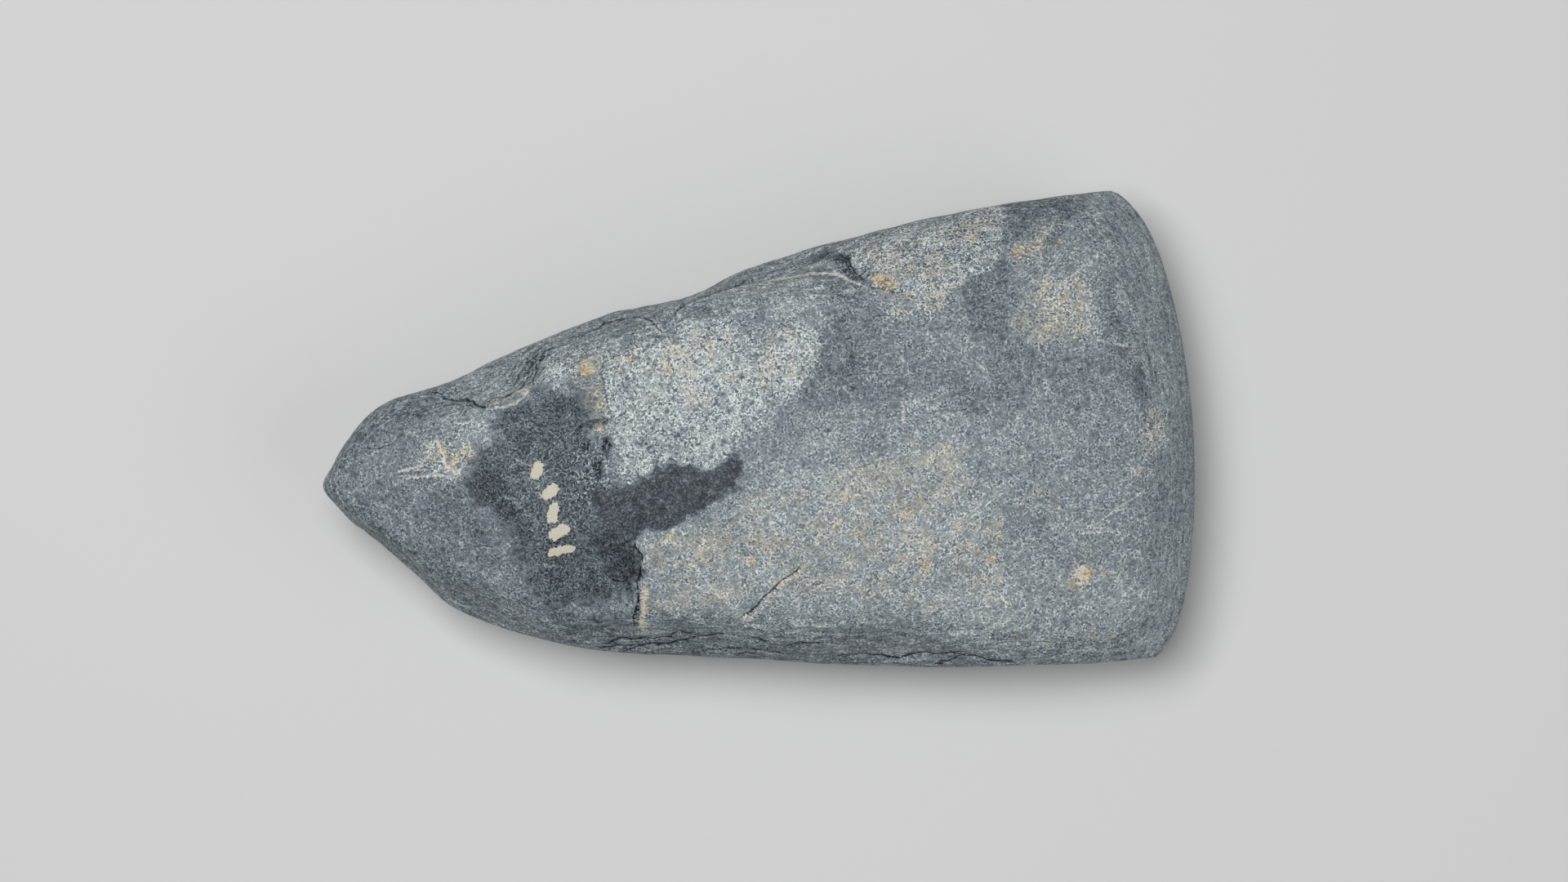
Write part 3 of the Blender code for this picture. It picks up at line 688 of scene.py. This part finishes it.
class Surface:
    """A mesh's points and normals, and the fields that its relief, lines and stains share."""

    def __init__(self, mesh):
        self.points = read_vectors(mesh.vertices, "co")
        self.normals = read_vectors(mesh.vertex_normals, "vector")
        self.in_mm = self.points / MM
        above_rim = self.in_mm[:, 2] - RIM_HEIGHT / MM
        self.places = self.in_mm[:, :2].copy()
        self.places[:, 1] += above_rim * VIEW_LEAN
        self.over = smooth_step(*OVER_RIM, above_rim)
        self.steep = smooth_step(*STEEPNESS, 1.0 - np.abs(self.normals[:, 2]))
        # Laid down from above, a line would smear over a nearly upright flank, so it fades there.
        self.facing_up = self.over * smooth_step(*FACING_UP, self.normals[:, 2])
        self.from_edge = (edge_reach(self.points) - self.points[:, 0]) / MM
        self.wander = self.two_way_noise("wander")
        self.flutter = self.two_way_noise("flutter")

    def noise(self, name):
        return noise_field(self.in_mm, name)

    def two_way_noise(self, name):
        return np.stack([self.noise(name), noise_field(self.in_mm + SECOND_WAY, name)], axis=1)

    def strayed(self, wander, flutter):
        """The points' places, moved by these shares of the noises, so that what is laid there is ragged."""
        return self.places + wander * self.wander + flutter * self.flutter


def line_fields(surface):
    """The fields of every kind of line, by name, and the risers beside the cracks."""
    crack_shows = surface.facing_up * (CRACK_STRENGTH + CRACK_CHANGE * surface.wander[:, 0])
    crooked = surface.strayed(*LINE_STRAY)
    fields = {}
    riser = np.zeros(len(surface.points))
    for name, places, lines, shows in (
        ("crack", crooked, CRACKS, crack_shows),
        ("seam", crooked, SEAMS, surface.facing_up),
        ("pale_line", surface.strayed(*FINE_STRAY), PALE_LINES, surface.facing_up),
        ("scratch", surface.places, scratch_lines(), surface.over),
    ):
        beside, strength, tan = lay_lines(places, lines, with_risers=name == "crack")
        fields[name] = beside
        fields[name + "_on"] = strength * shows
        riser = np.maximum(riser, tan)
    fields["riser"] = riser * surface.over
    return fields


def soil_field(surface, ragged):
    """Creamy soil: thin towards the cutting edge, and thicker in its stains."""
    lumps = surface.noise("soil")
    towards_edge = smooth_step(*TOWARDS_EDGE, surface.in_mm[:, 0])
    soil = THIN_SOIL * towards_edge * (1.0 + THIN_SOIL_LUMPS * lumps)
    for strength, *outline in TAN_STAINS:
        soil = np.maximum(soil, (strength + SOIL_LUMPS * lumps) * patch(ragged, outline, SOIL_BORDER))
    return soil * surface.over


def stain_fields(surface):
    """The fields of every stain on the upper face, by name, and of the noise stains on the underside."""
    ragged = surface.strayed(*BORDER_STRAY)
    crooked = surface.strayed(*LINE_STRAY)
    over = surface.over
    under = 1.0 - over
    bloom = np.zeros(len(over))
    for strength, soft, *outline in BLOOMS:
        bloom = np.maximum(bloom, strength * patch(ragged, outline, soft))
    bloom *= over * (1.0 + surface.noise("bloom"))
    rust = np.zeros(len(over))
    for x, y, radius, strength in RUST_SPOTS:
        away = np.linalg.norm(crooked - np.array((x, y)), axis=1)
        rust = np.maximum(rust, strength * np.exp(-((away / (RUST_SPREAD * radius)) ** 2)))
    tone = surface.noise("tone") + under * surface.noise("under_tone")
    for change, soft, *outline in TONE_CHANGES:
        tone += change * patch(ragged, outline, soft) * over
    tone += BEVEL_PALER * smooth_step(*BEHIND_BEVEL, surface.from_edge)
    soil_strength, *soil_noise = UNDER_SOIL
    bloom_strength, *bloom_noise = UNDER_BLOOM
    under_soil = under * soil_strength * smooth_step(*soil_noise, surface.noise("under_soil"))
    under_bloom = under * bloom_strength * smooth_step(*bloom_noise, surface.noise("under_bloom"))
    return {
        "coat": patch(ragged, DARK_COAT, COAT_BORDER) * over,
        "smooth_coat": patch(ragged, SMOOTH_COAT, SMOOTH_COAT_BORDER) * over,
        "bloom": bloom + under_bloom,
        "tan": soil_field(surface, ragged) + under_soil,
        "rust": rust * over,
        "tone": tone,
        "steep": surface.steep,
        "from_edge": surface.from_edge,
        "paint": lay_strokes(surface.strayed(*FINE_STRAY), PAINT_DABS) * over,
        "smudge": lay_strokes(surface.strayed(*SMUDGE_STRAY), DARK_SMUDGES) * surface.facing_up,
    }


def carve(mesh, surface, lines, shape):
    """Moves the mesh's points along their normals, by the waves, dents, layers and grooves of cracks."""
    groove = lines["crack_on"] * smooth_step(GROOVE_REACH, 0.0, np.abs(lines["crack"])) * shape.crack_depth
    waves = surface.noise("waves") * shape.wave_depth
    dents = surface.noise("dents") * shape.dent_depth
    layers = surface.steep * noise_field(surface.in_mm * BEDDING, "ledges") * shape.layer_depth
    # The resting flat and the thin cutting edge keep their shape.
    free = smooth_step(*OVER_FLAT, surface.in_mm[:, 2]) * smooth_step(*BEHIND_EDGE, surface.from_edge)
    moved = surface.points + surface.normals * ((waves + dents + layers) * free - groove)[:, None]
    mesh.vertices.foreach_set("co", moved.ravel())


def shape_and_stain(mesh, shape):
    """Carves the relief into the mesh, and stores the lines and stains on its points."""
    surface = Surface(mesh)
    lines = line_fields(surface)
    carve(mesh, surface, lines, shape)
    for name, values in {**lines, **stain_fields(surface)}.items():
        attribute = mesh.attributes.new(name, "FLOAT", "POINT")
        attribute.data.foreach_set("value", values.astype(np.float32))


class Nodes:
    """Short names for adding nodes to one tree. A value may be a number or another node's socket."""

    def __init__(self, tree):
        self.tree = tree

    def add(self, kind, **settings):
        node = self.tree.nodes.new("ShaderNode" + kind)
        for key, value in settings.items():
            setattr(node, key, value)
        return node

    def feed(self, socket, value):
        if isinstance(value, bpy.types.NodeSocket):
            self.tree.links.new(value, socket)
        else:
            socket.default_value = value

    def math(self, operation, a, b=0.0, clamp=False):
        node = self.add("Math", operation=operation, use_clamp=clamp)
        self.feed(node.inputs[0], a)
        self.feed(node.inputs[1], b)
        return node.outputs[0]

    def plus(self, a, b, clamp=False):
        return self.math("ADD", a, b, clamp)

    def minus(self, a, b):
        return self.math("SUBTRACT", a, b)

    def times(self, a, b, clamp=False):
        return self.math("MULTIPLY", a, b, clamp)

    def scaled(self, place, factors):
        node = self.add("VectorMath", operation="MULTIPLY")
        self.feed(node.inputs[0], place)
        self.feed(node.inputs[1], factors)
        return node.outputs[0]

    def step(self, value, low, high, to_low=0.0, to_high=1.0):
        node = self.add("MapRange", interpolation_type="SMOOTHSTEP")
        for socket, given in zip(node.inputs, (value, low, high, to_low, to_high)):
            self.feed(socket, given)
        return node.outputs[0]

    def near(self, value, level, half_width, top=1.0):
        """The top where the value is at this level, down to 0 at half a width from it."""
        away = self.math("ABSOLUTE", self.minus(value, level))
        return self.step(away, 0.0, half_width, top, 0.0)

    def noise(self, place, scale, detail, roughness=0.5):
        node = self.add("TexNoise")
        self.feed(node.inputs["Vector"], place)
        self.feed(node.inputs["Scale"], scale)
        self.feed(node.inputs["Detail"], detail)
        self.feed(node.inputs["Roughness"], roughness)
        return node.outputs["Fac"]

    def mix(self, share, a, b, blend="MIX"):
        node = self.add("Mix", data_type="RGBA", blend_type=blend)
        self.feed(node.inputs["Factor"], share)
        self.feed(node.inputs["A"], a)
        self.feed(node.inputs["B"], b)
        return node.outputs["Result"]

    def weighed(self, start, weights, masks):
        """The start plus each named mask times its weight."""
        for name, weight in weights.items():
            start = self.plus(start, self.times(masks[name], weight))
        return start

    def stored(self, name):
        return self.add("Attribute", attribute_name=name).outputs["Fac"]


def grain_group():
    """Short pale threads on darker grey, and layers that show on steep flanks, in millimetres."""
    group = bpy.data.node_groups.new("Stone grain", "ShaderNodeTree")
    for label, kind in (("Place", "Vector"), ("Thread Spacing", "Float"), ("Layer Spacing", "Float")):
        group.interface.new_socket(label, in_out="INPUT", socket_type="NodeSocket" + kind)
    for label in ("Threads", "Layers"):
        group.interface.new_socket(label, in_out="OUTPUT", socket_type="NodeSocketFloat")
    n = Nodes(group)
    given = group.nodes.new("NodeGroupInput").outputs
    out = group.nodes.new("NodeGroupOutput").inputs
    place = n.scaled(given["Place"], GRAIN_STRETCH)
    # A noise's half-way level winds through it as a thread, twice for each of its lumps.
    noises = []
    threads = []
    for lumps, detail, roughness, half_width in (BROAD_THREADS, FINE_THREADS):
        level = n.noise(place, n.math("DIVIDE", lumps, given["Thread Spacing"]), detail, roughness)
        noises.append(level)
        threads.append(n.near(level, 0.5, half_width))
    soft = n.step(noises[1], *SOFT_NOISE)
    broad_share = n.plus(BROAD_LEAST, n.times(soft, 1.0 - BROAD_LEAST))
    total = n.times(threads[0], broad_share)
    total = n.plus(total, n.times(threads[1], FINE_SHARE))
    n.feed(out["Threads"], n.plus(total, n.times(soft, SOFT_SHARE)))
    bedded = n.scaled(given["Place"], LAYER_STRETCH)
    layers = n.noise(bedded, n.math("DIVIDE", 1.0, given["Layer Spacing"]), *LAYER_NOISE)
    n.feed(out["Layers"], n.minus(layers, n.near(layers, *PARTING)))
    return group


def broken_stain(n, name, cluster):
    """A stain with the border that the clusters of grain give it: 1 on the stain and 0 off it."""
    raggedness, starts, full = STAINS[name]
    return n.step(n.plus(n.stored(name), n.times(cluster, raggedness)), starts, full)


def laid_line(n, name, cluster):
    """A crisp line from the two fields that lay_lines stored for it: 1 on the line and 0 off it."""
    half_width, wobble = LINES[name]
    away = n.math("ABSOLUTE", n.plus(n.stored(name), n.times(cluster, wobble)))
    strength = n.stored(name + "_on")
    wide = n.plus(n.times(strength, half_width), LINE_THINNEST)
    on = n.step(away, n.times(wide, LINE_CORE), wide, 1.0, 0.0)
    return n.times(on, strength, clamp=True)


def even_stops(dark, middle, pale):
    """Places and colours of ramp stops that step evenly to the eye between three colours."""
    stops = []
    for i in range(RAMP_STOPS):
        share = i / (RAMP_STOPS - 1)
        if share < 0.5:
            start, end, part = dark, middle, share * 2
        else:
            start, end, part = middle, pale, share * 2 - 1
        seen = [(1 - part) * a ** (1 / EYE_GAMMA) + part * b ** (1 / EYE_GAMMA) for a, b in zip(start, end)]
        stops.append((share, (*(value ** EYE_GAMMA for value in seen), 1.0)))
    return stops


def bevel_striae(n, place):
    """Fine striations along the ground bevel, from minus a half to a half."""
    towards_edge, along_edge = STRIAE_SCALE
    split = n.add("SeparateXYZ")
    n.feed(split.inputs[0], place)
    ground = n.add("CombineXYZ")
    n.feed(ground.inputs["X"], n.times(n.stored("from_edge"), towards_edge))
    n.feed(ground.inputs["Y"], n.times(split.outputs["Y"], along_edge))
    return n.minus(n.noise(ground.outputs["Vector"], 1.0, detail=1.0), 0.5)


def stone_masks(n, place, threads, layers):
    """How strongly each stain, line and layer shows, by the names that the tables of weights use."""
    # Clusters of grain break up each stain's border.
    cluster = n.minus(n.noise(place, *CLUSTER_NOISE), 0.5)
    cluster = n.plus(cluster, n.times(threads, CLUSTER_THREADS))
    masks = {"cluster": cluster, "tone": n.stored("tone")}
    for name in STAINS:
        masks[name] = broken_stain(n, name, cluster)
    for name in LINES:
        masks[name] = laid_line(n, name, cluster)
    masks["coat"] = n.math("MAXIMUM", masks["coat"], masks["smooth_coat"])
    masks["bloom"] = n.times(masks["bloom"], n.minus(1.0, masks["smooth_coat"]))
    masks["riser"] = n.times(n.stored("riser"), n.step(cluster, *RISER_IN_GRAIN))
    on_lines = n.times(masks["pale_line"], SOIL_ON_LINES)
    masks["soil"] = n.math("MAXIMUM", masks["tan"], on_lines)
    masks["rust"] = n.math("MAXIMUM", masks["rust"], n.times(masks["riser"], RUST_ON_RISERS))
    masks["bevel"] = n.step(n.stored("from_edge"), *BEVEL_END, 1.0, 0.0)
    masks["striae"] = n.times(bevel_striae(n, place), masks["bevel"])
    off_bevel = n.minus(1.0, n.times(masks["bevel"], BEVEL_SMOOTHNESS))
    flanks = n.times(n.stored("steep"), off_bevel)
    masks["layers"] = n.times(layers, flanks)
    return masks


def stone_colour(n, look, tone, masks):
    """The grain's colour ramp, tinted by soil and rust and covered by the paint dabs."""
    ramp = n.add("ValToRGB")
    n.feed(ramp.inputs["Fac"], tone)
    stops = ramp.color_ramp.elements
    stops.remove(stops[1])
    for share, colour in even_stops(look.dark_grain, look.stone_grey, look.pale_grain):
        stop = stops[0] if share == 0.0 else stops.new(share)
        stop.position = share
        stop.color = colour
    soil = n.times(masks["soil"], n.step(tone, *SOIL_IN_GRAIN))
    colour = n.mix(soil, ramp.outputs["Color"], (*look.soil_tint, 1.0), "MULTIPLY")
    colour = n.mix(masks["rust"], colour, (*look.rust_tint, 1.0), "MULTIPLY")
    return n.mix(masks["paint"], colour, (*look.paint_cream, 1.0))


def stone_material(look):
    """The stone's grain, with the stains and lines that are stored on the mesh."""
    material = bpy.data.materials.new(SLOT)
    material.use_nodes = True
    shader = material.node_tree.nodes["Principled BSDF"]
    n = Nodes(material.node_tree)
    place = n.scaled(n.add("TexCoord").outputs["Object"], (1 / MM, 1 / MM, 1 / MM))
    grain = n.add("Group", node_tree=grain_group())
    n.feed(grain.inputs["Place"], place)
    n.feed(grain.inputs["Thread Spacing"], look.thread_spacing / MM)
    n.feed(grain.inputs["Layer Spacing"], look.layer_spacing / MM)
    threads = n.minus(grain.outputs["Threads"], MEAN_THREADS)
    masks = stone_masks(n, place, threads, n.minus(grain.outputs["Layers"], 0.5))

    contrast = n.times(look.contrast, n.weighed(1.0, CONTRAST_WEIGHTS, masks))
    tone = n.plus(masks["tone"], n.times(threads, contrast))
    tone = n.plus(n.weighed(tone, TONE_WEIGHTS, masks), BASE_TONE, clamp=True)
    n.feed(shader.inputs["Base Color"], stone_colour(n, look, tone, masks))

    smoother = n.times(masks["smooth_coat"], look.roughness - look.coat_roughness)
    rough = n.minus(look.roughness, smoother)
    rough = n.plus(rough, n.times(threads, THREAD_ROUGHNESS))
    n.feed(shader.inputs["Roughness"], rough)
    shader.inputs["Specular IOR Level"].default_value = look.sheen

    thread_height = n.minus(THREAD_HEIGHT, n.times(n.stored("smooth_coat"), COAT_FILL))
    height = n.times(threads, thread_height)
    height = n.plus(height, n.times(masks["layers"], LAYER_HEIGHT))
    bump = n.add("Bump")
    bump.inputs["Strength"].default_value = 1.0
    bump.inputs["Distance"].default_value = look.grain_depth
    n.feed(bump.inputs["Height"], height)
    n.feed(shader.inputs["Normal"], bump.outputs["Normal"])
    return material


def floor_material(colour):
    lumps, detail, darkest = FLOOR_CLOUDS
    material = bpy.data.materials.new("pale_floor")
    material.use_nodes = True
    n = Nodes(material.node_tree)
    shader = material.node_tree.nodes["Principled BSDF"]
    cloud = n.noise(n.add("TexCoord").outputs["Object"], lumps, detail)
    darker = tuple(darkest * part for part in colour)
    n.feed(shader.inputs["Base Color"], n.mix(cloud, (*darker, 1.0), (*colour, 1.0)))
    shader.inputs["Roughness"].default_value = FLOOR_ROUGHNESS
    return material


def area_light(name, power, size, place, colour):
    light = bpy.data.lights.new(name, "AREA")
    light.energy = power
    light.size = size
    light.color = colour
    lamp = bpy.data.objects.new(name, light)
    lamp.location = place
    lamp.rotation_euler = (-Vector(place)).to_track_quat("-Z", "Y").to_euler()
    bpy.context.scene.collection.objects.link(lamp)


def set_camera(stage):
    """Looks down on the upper face, with the axe's line rising to the right as in the photograph."""
    data = bpy.data.cameras.new("view")
    data.lens = stage.lens
    distance = stage.view_width * stage.lens / data.sensor_width
    camera = bpy.data.objects.new("view", data)
    tilt = Matrix.Rotation(math.pi / 2 - stage.elevation, 4, "X")
    roll = Matrix.Rotation(-stage.roll, 4, "Z")
    turned = tilt @ roll
    right, up, back = (turned.col[i].to_3d() for i in range(3))
    right_shift, up_shift = VIEW_SHIFT
    aim = Vector((0.0, 0.0, RIM_HEIGHT)) + right * right_shift * MM + up * up_shift * MM
    turned.translation = aim + back * distance
    camera.matrix_world = turned
    bpy.context.scene.collection.objects.link(camera)
    bpy.context.scene.camera = camera


class AXE_OT_stone_head(Operator):
    """Builds the axe head's worn and stained stone over the plain solid"""

    bl_idname = "axe.stone_head"
    bl_label = "Stone head"

    def execute(self, context):
        shape = context.scene.axe_shape
        mesh = fine_copy("axe_head_stone", shape.mesh_step, shape.arris_wear)
        shape_and_stain(mesh, shape)
        mesh.shade_smooth()
        mesh.materials.append(stone_material(context.scene.axe_stone))
        piece = bpy.data.objects.new("axe_head_stone", mesh)
        context.scene.collection.objects.link(piece)
        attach(piece, "root")
        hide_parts(NODE)
        return {"FINISHED"}


class AXE_OT_stage(Operator):
    """Lays the pale floor and sets the soft light and the camera"""

    bl_idname = "axe.stage"
    bl_label = "Stage"

    def execute(self, context):
        stage = context.scene.axe_stage
        bm = bmesh.new()
        bmesh.ops.create_grid(bm, x_segments=1, y_segments=1, size=FLOOR_SIZE)
        mesh = bpy.data.meshes.new("floor")
        bm.to_mesh(mesh)
        bm.free()
        mesh.materials.append(floor_material(stage.floor_colour))
        floor = bpy.data.objects.new("floor", mesh)
        context.scene.collection.objects.link(floor)
        area_light("key", stage.key_power, *KEY_LAMP)
        area_light("fill", stage.fill_power, *FILL_LAMP)
        world = bpy.data.worlds.new("soft_room")
        world.use_nodes = True
        back = world.node_tree.nodes["Background"]
        back.inputs["Color"].default_value = (1.0, 1.0, 1.0, 1.0)
        back.inputs["Strength"].default_value = stage.ambient
        context.scene.world = world
        context.scene.view_settings.view_transform = "Standard"
        set_camera(stage)
        return {"FINISHED"}


class AXE_PT_panel(Panel):
    """Lists the axe head's settings and the operators that build it"""

    bl_label = "Stone axe"
    bl_idname = "AXE_PT_panel"
    bl_space_type = "VIEW_3D"
    bl_region_type = "UI"
    bl_category = "Stone axe"

    def draw(self, context):
        for settings, operator in (
            ((context.scene.axe_shape, context.scene.axe_stone), AXE_OT_stone_head),
            ((context.scene.axe_stage,), AXE_OT_stage),
        ):
            box = self.layout.box()
            for group in settings:
                for name in group.__annotations__:
                    box.prop(group, name)
            box.operator(operator.bl_idname)


CLASSES = (
    AxeShapeSettings,
    AxeStoneSettings,
    AxeStageSettings,
    AXE_OT_stone_head,
    AXE_OT_stage,
    AXE_PT_panel,
)


def register():
    for each in CLASSES:
        bpy.utils.register_class(each)
    bpy.types.Scene.axe_shape = PointerProperty(type=AxeShapeSettings)
    bpy.types.Scene.axe_stone = PointerProperty(type=AxeStoneSettings)
    bpy.types.Scene.axe_stage = PointerProperty(type=AxeStageSettings)


def unregister():
    del bpy.types.Scene.axe_stage
    del bpy.types.Scene.axe_stone
    del bpy.types.Scene.axe_shape
    for each in reversed(CLASSES):
        bpy.utils.unregister_class(each)


def main():
    register()
    bpy.ops.axe.stone_head()
    bpy.ops.axe.stage()


if __name__ == "__main__":
    main()
